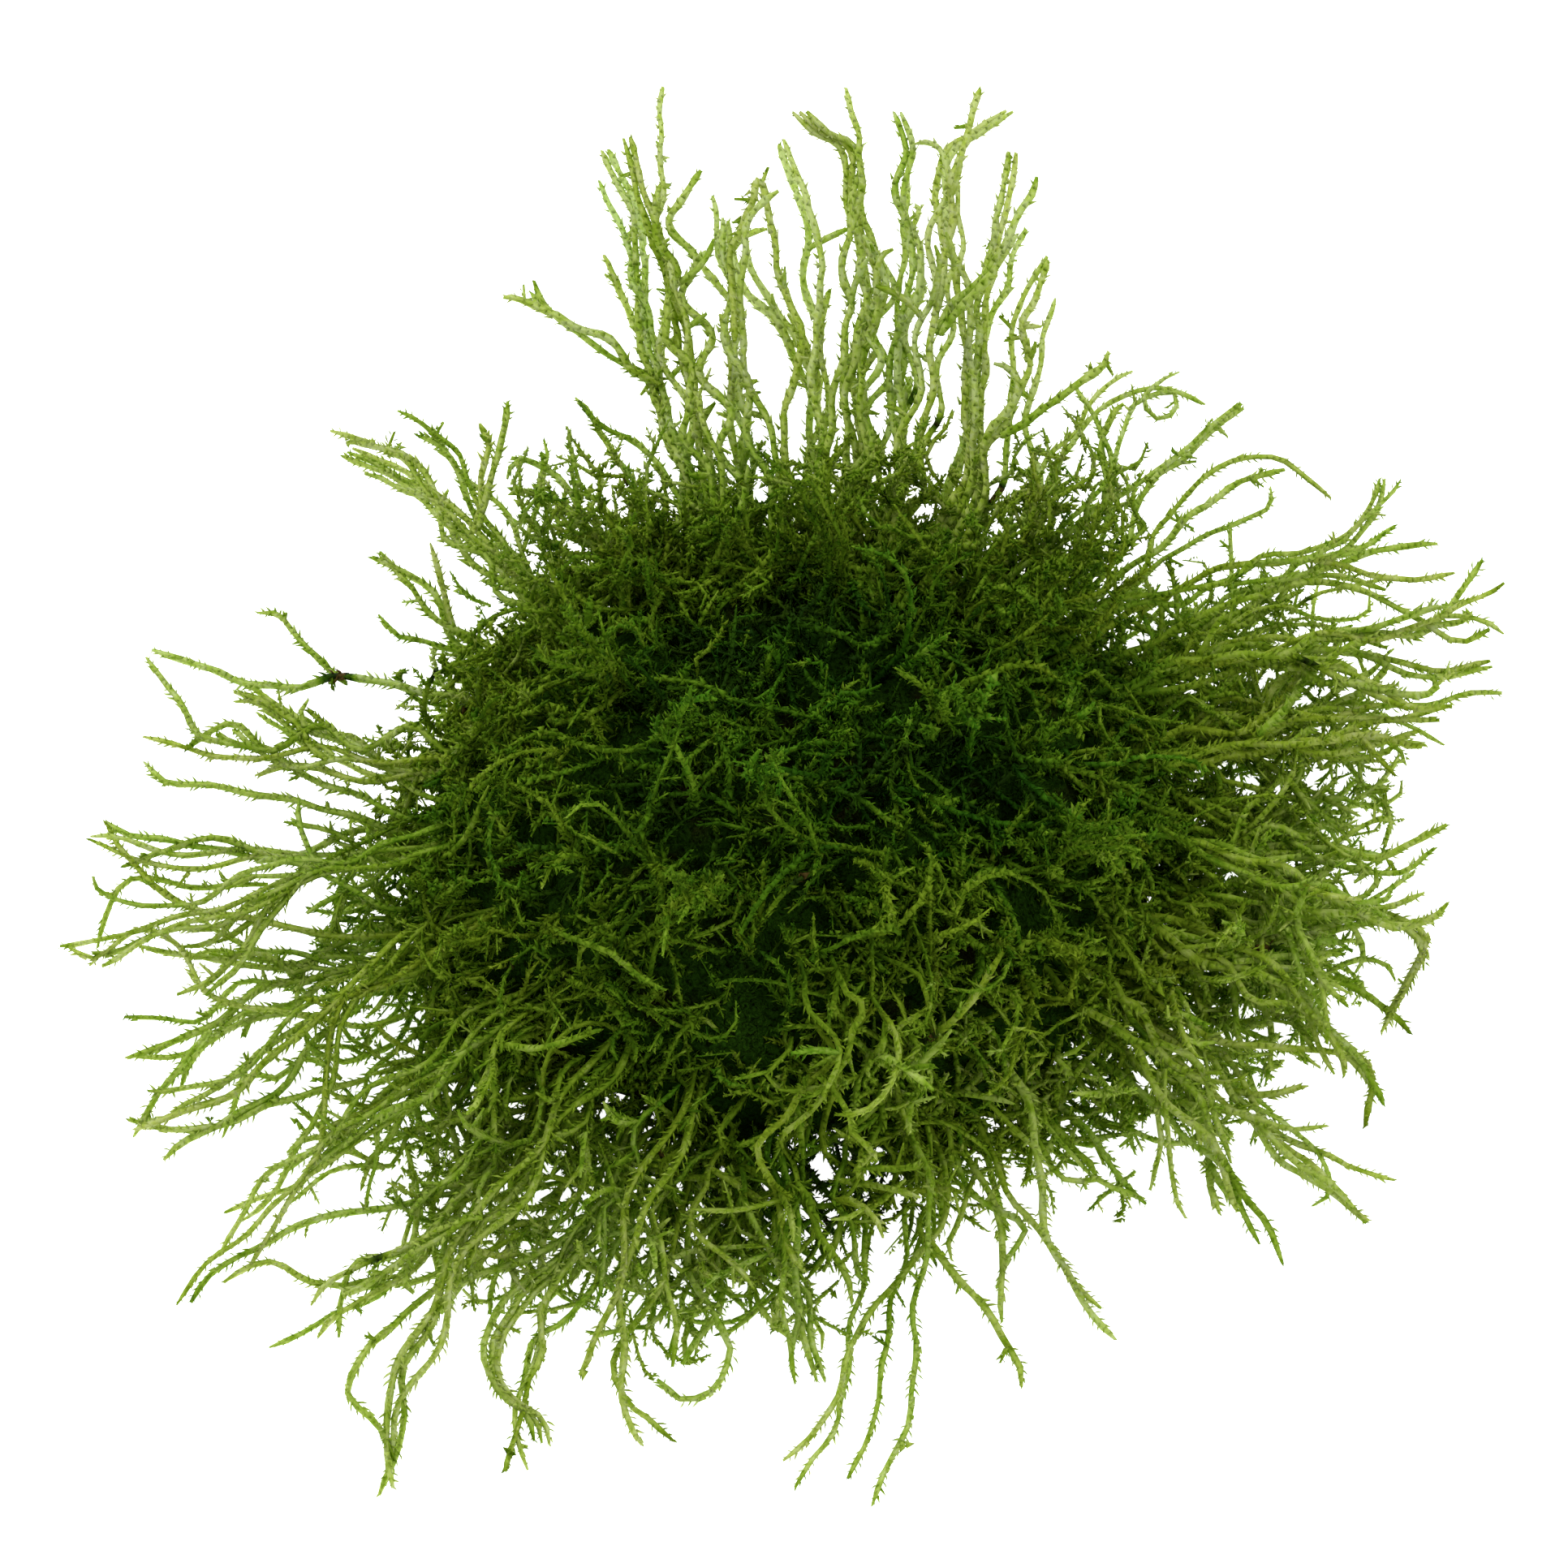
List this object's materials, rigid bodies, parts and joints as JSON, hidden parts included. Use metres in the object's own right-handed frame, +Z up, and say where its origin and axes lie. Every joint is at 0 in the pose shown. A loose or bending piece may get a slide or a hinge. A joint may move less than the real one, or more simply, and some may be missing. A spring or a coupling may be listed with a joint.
{
  "type": "taiwan moss clump",
  "caption": "Loose clump of aquatic moss: a dense rounded cushion on a small flat underside, with long leafy shoots curving out all round.",
  "frame": {"origin": "middle of the flat underside that the clump rests on", "axes": "+Z up, -Y to the front, +X to the right as seen from the front; the tallest shoots lean to the back, +Y"},
  "size_m": [0.0824, 0.0852, 0.0264],
  "materials": {
    "cushion_moss": "dense dark green tangle of stems and leaves",
    "rim_moss": "translucent yellow-green leafy shoots",
    "pale_moss": "pale translucent green leafy shoots",
    "crown_moss": "fresh green shoot tips with a faint wet gloss"
  },
  "bodies": {
    "root": {"back_left_shoot_1": "rim_moss", "back_left_shoot_2": "rim_moss", "back_left_shoot_3": "rim_moss", "back_left_shoot_4": "rim_moss", "back_right_shoot_1": "rim_moss", "back_right_shoot_2": "rim_moss", "back_right_shoot_3": "rim_moss", "back_right_shoot_4": "rim_moss", "back_shoot_1": "pale_moss", "back_shoot_10": "pale_moss", "back_shoot_2": "pale_moss", "back_shoot_3": "pale_moss", "back_shoot_4": "pale_moss", "back_shoot_5": "pale_moss", "back_shoot_6": "pale_moss", "back_shoot_7": "pale_moss", "back_shoot_8": "pale_moss", "back_shoot_9": "pale_moss", "crown_shoot_1": "crown_moss", "crown_shoot_2": "crown_moss", "crown_shoot_3": "crown_moss", "crown_shoot_4": "crown_moss", "crown_shoot_5": "crown_moss", "front_left_shoot_1": "rim_moss", "front_left_shoot_2": "rim_moss", "front_left_shoot_3": "rim_moss", "front_right_shoot_1": "rim_moss", "front_right_shoot_2": "rim_moss", "front_right_shoot_3": "rim_moss", "front_right_shoot_4": "rim_moss", "front_right_shoot_5": "rim_moss", "front_right_shoot_6": "rim_moss", "front_shoot_1": "rim_moss", "front_shoot_2": "rim_moss", "front_shoot_3": "rim_moss", "front_shoot_4": "rim_moss", "front_shoot_5": "rim_moss", "front_shoot_6": "rim_moss", "left_shoot_1": "rim_moss", "left_shoot_2": "rim_moss", "left_shoot_3": "rim_moss", "left_shoot_4": "rim_moss", "left_shoot_5": "rim_moss", "left_shoot_6": "rim_moss", "left_shoot_7": "rim_moss", "left_shoot_8": "rim_moss", "moss_cushion": "cushion_moss", "right_shoot_1": "rim_moss", "right_shoot_2": "rim_moss", "right_shoot_3": "rim_moss", "right_shoot_4": "rim_moss", "right_shoot_5": "rim_moss", "right_shoot_6": "rim_moss", "right_shoot_7": "rim_moss"}
  },
  "joints": []
}
